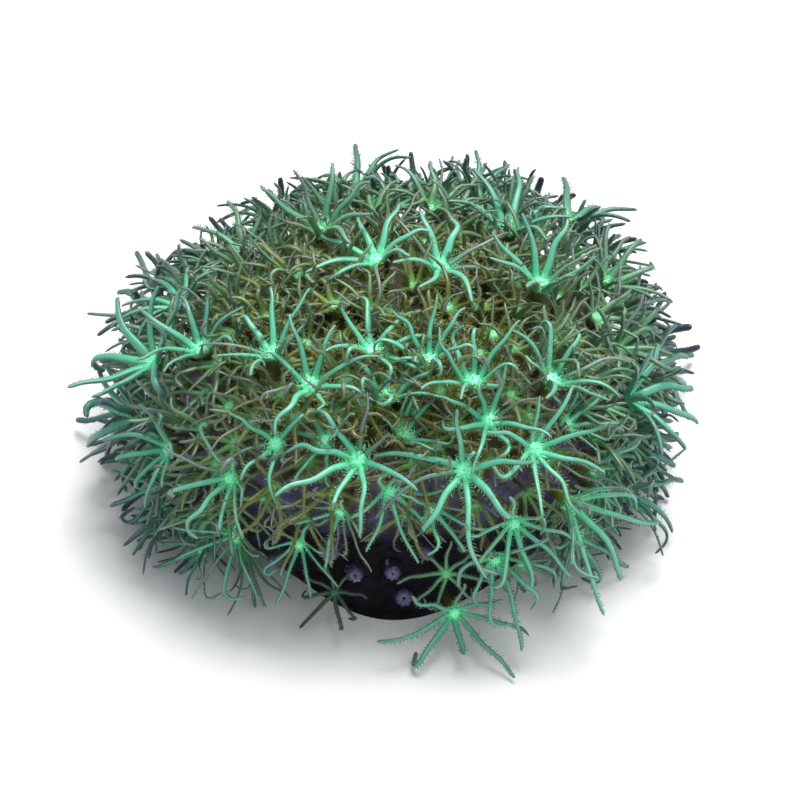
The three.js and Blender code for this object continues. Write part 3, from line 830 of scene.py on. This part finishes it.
class Finish:
    """A material with its nodes made one by one. Each maker gives back the output socket that it made."""

    def __init__(self, name, **settings):
        self.material = bpy.data.materials.new(name)
        self.material.use_nodes = True
        self.tree = self.material.node_tree
        self.shader = self.tree.nodes["Principled BSDF"]
        for socket, value in settings.items():
            self.shader.inputs[socket.replace("_", " ")].default_value = value

    def node(self, kind, **inputs):
        made = self.tree.nodes.new(kind)
        for socket, value in inputs.items():
            self.feed(made.inputs[socket.replace("_", " ")], value)
        return made

    def feed(self, socket, value):
        if isinstance(value, bpy.types.NodeSocket):
            self.tree.links.new(value, socket)
        else:
            socket.default_value = value

    def number(self, name):
        made = self.tree.nodes.new("ShaderNodeAttribute")
        made.attribute_name = name
        return made.outputs["Fac"]

    def numbers(self):
        return [self.number(name) for name in Shape.NUMBERS]

    def noise(self, scale, detail=3.0, roughness=0.5):
        place = self.tree.nodes.new("ShaderNodeTexCoord").outputs["Object"]
        made = self.node(
            "ShaderNodeTexNoise", Vector=place, Scale=scale, Detail=detail, Roughness=roughness
        )
        return made.outputs["Fac"]

    def math(self, operation, first, second=0.0, third=0.0):
        made = self.tree.nodes.new("ShaderNodeMath")
        made.operation = operation
        for socket, value in zip(made.inputs, (first, second, third)):
            self.feed(socket, value)
        return made.outputs["Value"]

    def ramp(self, factor, *stops):
        made = self.tree.nodes.new("ShaderNodeValToRGB")
        self.feed(made.inputs["Fac"], factor)
        elements = made.color_ramp.elements
        while len(elements) < len(stops):
            elements.new(1.0)
        for element, (position, colour) in zip(elements, stops):
            element.position = position
            element.color = colour
        return made.outputs["Color"]

    def mix(self, factor, first, second, blend="MIX"):
        made = self.tree.nodes.new("ShaderNodeMix")
        made.data_type = "RGBA"
        made.blend_type = blend
        for socket, value in ((0, factor), (6, first), (7, second)):
            self.feed(made.inputs[socket], value)
        return made.outputs[2]

    def grey(self, low, high, factor):
        """A number from low to high as factor goes from 0 to 1."""
        return self.math("MULTIPLY_ADD", factor, high - low, low)

    def finish(self, colour, roughness, bump_height, bump_depth, glow=None, glow_colour=None):
        self.feed(self.shader.inputs["Base Color"], colour)
        self.feed(self.shader.inputs["Roughness"], roughness)
        bump = self.node("ShaderNodeBump", Height=bump_height, Distance=bump_depth)
        self.feed(self.shader.inputs["Normal"], bump.outputs["Normal"])
        if glow is not None:
            self.feed(self.shader.inputs["Emission Color"], glow_colour)
            self.feed(self.shader.inputs["Emission Strength"], glow)
        return self.material


SOFT = {"Subsurface_Weight": 0.25, "Subsurface_Radius": (0.4, 1.0, 0.7), "Subsurface_Scale": 0.0006}


def grey(value):
    return (value, value, value, 1.0)


WHITE = grey(1.0)
BLACK = grey(0.0)


def tentacle_finish():
    """Mint arms with a painted highlight along the top, painted shade as darker green along the edges, and
    violet beneath. Bluer polyps darken to dark blue at the tips, partly painted shade, and the lowest young
    polyps carry painted shade. Dull ones, and arms close to the mat, are olive.
    """
    made = Finish("tentacle", Specular_IOR_Level=0.55, Coat_Weight=0.15, Coat_Roughness=0.2, **SOFT)
    place, side, tone, cool, dull, dark = made.numbers()
    grain = made.noise(900, 2)
    green = made.ramp(
        place, (0.0, srgb(104, 246, 186)), (0.14, srgb(98, 212, 166)), (0.45, srgb(102, 190, 162)),
        (0.8, srgb(108, 174, 158)), (1.0, srgb(108, 144, 142)),
    )
    # Bluer polyps at the sides, the back and low down also darken towards near black at the tips: partly
    # their own blue, partly painted shade.
    blue = made.ramp(
        place, (0.0, srgb(66, 206, 150)), (0.2, srgb(54, 150, 122)), (0.55, srgb(40, 112, 110)),
        (0.85, srgb(28, 66, 84)), (1.0, srgb(12, 18, 32)),
    )
    colour = made.mix(cool, green, blue)
    # Painted highlight: a pale mint stripe along the top of every arm, fainter on the bluer polyps.
    top = made.ramp(side, (0.62, BLACK), (0.96, WHITE))
    top_highlight = made.math("MULTIPLY", top, made.grey(0.46, 0.14, cool))
    colour = made.mix(top_highlight, colour, srgb(132, 238, 210))
    olive = made.ramp(
        place, (0.0, srgb(124, 182, 76)), (0.3, srgb(124, 124, 38)), (0.75, srgb(118, 106, 36)),
        (1.0, srgb(134, 124, 122)),
    )
    # Olive for dull polyps and for arms close to the mat.
    dulled = made.math("MULTIPLY", dull, made.grey(0.95, 0.05, cool))
    colour = made.mix(dulled, colour, olive)
    violet = made.ramp(
        place, (0.0, srgb(96, 152, 124)), (0.35, srgb(124, 132, 132)), (1.0, srgb(124, 112, 148))
    )
    thin = made.math("GREATER_THAN", tone, THIN_ARMS)
    colour = made.mix(made.math("MULTIPLY", thin, made.grey(0.8, 0.4, cool)), colour, violet)
    beneath = made.ramp(side, (0.12, WHITE), (0.4, BLACK))
    colour = made.mix(made.math("MULTIPLY", beneath, made.grey(0.6, 0.25, cool)), colour, violet)
    # Painted shade: darker green along the two edges of every arm.
    edge = made.ramp(side, (0.3, BLACK), (0.5, WHITE), (0.7, BLACK))
    colour = made.mix(made.math("MULTIPLY", edge, 0.45), colour, srgb(52, 132, 74))
    colour = made.mix(made.grey(0.0, 0.4, grain), colour, srgb(84, 130, 84), "MULTIPLY")
    # Painted shade: the lowest young polyps go near black.
    colour = made.mix(dark, colour, srgb(30, 22, 40))
    glow = made.ramp(place, (0.0, grey(0.1)), (0.3, grey(0.04)), (1.0, grey(0.01)))
    return made.finish(colour, made.grey(0.3, 0.5, grain), grain, 0.00006, glow, colour)


def pinnule_finish():
    """Olive-brown branches, bright green beside the crown, and bluer and darker low down, partly painted
    shade. A few have pale ends, which are painted glints. The lowest young polyps carry painted shade.
    """
    made = Finish("pinnule", Specular_IOR_Level=0.4, **SOFT)
    place, side, tone, cool, dull, dark = made.numbers()
    # The palest tones, at the top of this ramp, are painted glints.
    olive = made.ramp(
        tone, (0.0, srgb(108, 88, 26)), (0.4, srgb(128, 118, 40)), (0.7, srgb(134, 140, 54)),
        (0.9, srgb(130, 160, 82)), (1.0, srgb(200, 220, 150)),
    )
    # Bluer and darker for polyps at the sides, the back and low down: partly their own colour, partly
    # painted shade.
    blue = made.ramp(tone, (0.0, srgb(34, 38, 28)), (0.5, srgb(46, 64, 52)), (1.0, srgb(76, 108, 102)))
    colour = made.mix(made.math("MULTIPLY", cool, 0.85), olive, blue)
    bright = made.ramp(
        tone, (0.0, srgb(84, 190, 96)), (0.55, srgb(112, 246, 178)), (0.95, srgb(210, 255, 222))
    )
    near = made.ramp(place, (0.08, WHITE), (0.26, BLACK))
    shine = made.math("MULTIPLY", near, made.grey(0.9, 0.35, dull))
    colour = made.mix(shine, colour, bright)
    # Painted shade: the lowest young polyps go near black.
    colour = made.mix(dark, colour, srgb(22, 18, 26))
    glow = made.ramp(place, (0.06, grey(0.18)), (0.24, BLACK))
    glow = made.math("MULTIPLY", glow, made.grey(1.0, 0.1, dull))
    return made.finish(colour, made.grey(0.35, 0.55, side), made.noise(1500, 1), 0.00003, glow, colour)


def stalk_finish():
    """Stalks from violet-grey at the mat to olive below the crown, and a glowing mint disc."""
    made = Finish("stalk", Specular_IOR_Level=0.5, Coat_Weight=0.1, Coat_Roughness=0.3, **SOFT)
    place, side, tone, cool, dull, dark = made.numbers()
    grain = made.noise(700, 4)
    colour = made.ramp(
        place, (0.0, srgb(84, 72, 76)), (0.2, srgb(104, 94, 48)), (0.42, srgb(118, 118, 46)),
        (0.58, srgb(100, 160, 84)), (0.7, srgb(100, 244, 174)), (0.9, srgb(146, 255, 212)),
        (1.0, srgb(104, 240, 176)),
    )
    groove = made.ramp(side, (0.0, srgb(176, 184, 150)), (0.6, WHITE))
    colour = made.mix(made.grey(0.2, 0.6, grain), colour, groove, "MULTIPLY")
    low = made.ramp(place, (0.4, WHITE), (0.62, BLACK))
    shaded = made.math("MULTIPLY", low, made.math("MULTIPLY", cool, 0.8))
    colour = made.mix(shaded, colour, srgb(44, 40, 34))
    high = made.ramp(place, (0.5, BLACK), (0.66, WHITE))
    # Dull polyps have a duller green crown.
    dulled = made.math("MULTIPLY", high, made.math("MULTIPLY", dull, 0.8))
    colour = made.mix(dulled, colour, srgb(112, 176, 86))
    # Painted shade: the lowest young polyps go near black.
    colour = made.mix(dark, colour, srgb(22, 18, 26))
    glow = made.ramp(place, (0.58, BLACK), (0.72, grey(0.17)), (0.9, grey(0.27)))
    glow = made.math("MULTIPLY", glow, made.grey(1.0, 0.1, dull))
    rough = made.grey(0.3, 0.55, made.math("MULTIPLY", tone, grain))
    return made.finish(colour, rough, grain, 0.00008, glow, colour)


def mat_finish():
    """A rubbery violet-blue skin, olive-brown on top where it is shaded, and near black low at the front:
    partly its own dark colour, partly painted shade.
    """
    made = Finish("mat", Coat_Roughness=0.16)
    place, collar, front = (made.number(name) for name in ("place", "side", "tone"))
    blotch = made.noise(170, 4, 0.6)
    pores = made.noise(1600, 3, 0.6)
    violet = made.ramp(
        blotch, (0.36, srgb(34, 26, 28)), (0.47, srgb(60, 54, 84)), (0.56, srgb(108, 106, 180)),
        (0.66, srgb(112, 112, 182)), (0.76, srgb(44, 34, 40)),
    )
    olive = made.ramp(
        blotch, (0.3, srgb(62, 50, 14)), (0.5, srgb(98, 88, 26)), (0.72, srgb(106, 104, 50))
    )
    top = made.ramp(place, (0.46, WHITE), (0.66, BLACK))
    colour = made.mix(made.math("MULTIPLY", top, 0.95), violet, olive)
    colour = made.mix(made.math("MULTIPLY", collar, 0.3), colour, srgb(110, 108, 116))
    # Near black low down, most at the front: partly the skin's own dark colour, partly painted shade.
    low = made.ramp(place, (0.64, BLACK), (0.79, WHITE))
    black = made.math("MULTIPLY", low, made.grey(0.4, 1.0, front))
    colour = made.mix(made.math("MULTIPLY", black, 0.96), colour, srgb(9, 6, 6))
    colour = made.mix(made.grey(0.0, 0.5, pores), colour, srgb(70, 60, 66), "MULTIPLY")
    made.feed(made.shader.inputs["Specular IOR Level"], made.grey(0.5, 0.12, black))
    made.feed(made.shader.inputs["Coat Weight"], made.grey(0.35, 0.02, black))
    height = made.math("MULTIPLY_ADD", blotch, 0.6, pores)
    return made.finish(colour, made.grey(0.28, 0.55, pores), height, 0.0002)


def lump_finish():
    """Closed polyps: violet knobs, paler round the pit that their tentacles are drawn in to as a painted
    highlight, with painted shade at the foot and in the pit, and painted glints.
    """
    made = Finish("lump", Specular_IOR_Level=0.5, Coat_Weight=0.4, Coat_Roughness=0.2)
    place = made.number("place")
    pores = made.noise(1300, 3)
    # Painted shade near black at the foot and in the pit, and a pale painted highlight high on the knob
    # round the pit.
    colour = made.ramp(
        place, (0.1, srgb(16, 12, 16)), (0.4, srgb(54, 50, 78)), (0.66, srgb(98, 96, 140)),
        (0.86, srgb(140, 140, 170)), (1.0, srgb(34, 30, 42)),
    )
    # Painted glints: pale specks.
    painted_glints = made.ramp(pores, (0.6, BLACK), (0.7, WHITE))
    colour = made.mix(made.math("MULTIPLY", painted_glints, 0.5), colour, srgb(190, 196, 214))
    return made.finish(colour, made.grey(0.3, 0.55, pores), pores, 0.0001)


polyp_finishes = [stalk_finish(), tentacle_finish(), pinnule_finish()]
mat_finishes = [mat_finish(), lump_finish()]

mat_shape = Shape()
add_mat(mat_shape)
for number, lump in enumerate(lumps):
    add_lump(mat_shape, lump, number)
mat_shape.make("mat_skin", mat_finishes, ["mat"])

for number, polyp in enumerate(open_polyps, start=1):
    shape = Shape()
    add_polyp(shape, polyp, steps=18, arm_sides=6, stalk_sides=20)
    shape.make(f"open_polyp_{number:02d}", polyp_finishes, [f"polyp_{number:02d}"])

for number, polyp in enumerate(young_polyps, start=1):
    shape = Shape()
    add_polyp(shape, polyp, steps=13, arm_sides=6, stalk_sides=16)
    shape.make(f"young_polyp_{number:02d}", polyp_finishes, ["mat"])

for number, name in enumerate(("small_polyps_01", "small_polyps_02", "small_polyps_03")):
    shape = Shape()
    for polyp in small_polyps[number::3]:
        add_polyp(shape, polyp, steps=9, arm_sides=5, stalk_sides=8)
    shape.make(name, polyp_finishes, ["mat"])

bud_shape = Shape()
for bud in buds:
    add_polyp(bud_shape, bud, steps=8, arm_sides=5, stalk_sides=8)
bud_shape.make("buds", polyp_finishes, ["mat"])


# Floor, light and camera

CAMERA_ELEVATION = 43
CAMERA_DISTANCE = 300
CAMERA_LENS = 105
# What the camera looks at, and how far it moves to the right and down to frame the colony as the photo does.
PIVOT = np.array([0.0, 0.0, 13.0])
SHIFT_RIGHT = 1.29
SHIFT_DOWN = 1.03


def add_floor():
    bpy.ops.mesh.primitive_plane_add(size=6, location=(0, 0, 0))
    floor = bpy.context.object
    floor.name = "floor"
    made = Finish("floor", Roughness=0.85, Specular_IOR_Level=0.1)
    pale = made.ramp(made.noise(8, 2), (0.3, srgb(240, 240, 241)), (0.7, srgb(244, 244, 245)))
    made.feed(made.shader.inputs["Base Color"], pale)
    floor.data.materials.append(made.material)


def add_light(name, place, target, size, power, colour):
    lamp = bpy.data.lights.new(name, "AREA")
    lamp.size = size
    lamp.energy = power
    lamp.color = colour
    light = bpy.data.objects.new(name, lamp)
    light.location = Vector(place)
    light.rotation_euler = (Vector(target) - Vector(place)).to_track_quat("-Z", "Y").to_euler()
    bpy.context.scene.collection.objects.link(light)


def add_camera():
    tilt = math.radians(CAMERA_ELEVATION)
    back = np.array([0, -math.cos(tilt), math.sin(tilt)])
    screen_up = np.array([0, math.sin(tilt), math.cos(tilt)])
    eye = PIVOT + back * CAMERA_DISTANCE + np.array([SHIFT_RIGHT, 0, 0]) - screen_up * SHIFT_DOWN
    camera = bpy.data.objects.new("camera", bpy.data.cameras.new("camera"))
    camera.data.lens = CAMERA_LENS
    camera.data.sensor_width = 36
    camera.data.clip_start = 0.01
    camera.data.clip_end = 20
    camera.location = Vector(eye * METRE)
    camera.rotation_euler = Vector(-back).to_track_quat("-Z", "Y").to_euler()
    bpy.context.scene.collection.objects.link(camera)
    bpy.context.scene.camera = camera


def light_studio():
    world = bpy.data.worlds.new("studio")
    world.use_nodes = True
    world.node_tree.nodes["Background"].inputs["Color"].default_value = (0.93, 0.96, 1.0, 1.0)
    world.node_tree.nodes["Background"].inputs["Strength"].default_value = 0.46
    bpy.context.scene.world = world
    target = (0, 0, 0.01)
    add_light("key", (0.12, 0.22, 0.7), target, 0.4, 6.8, (1.0, 1.0, 0.96))
    add_light("fill", (0.45, -0.45, 0.4), target, 0.6, 0.7, (0.9, 0.97, 1.0))
    bpy.context.scene.view_settings.view_transform = "Standard"


add_floor()
light_studio()
add_camera()
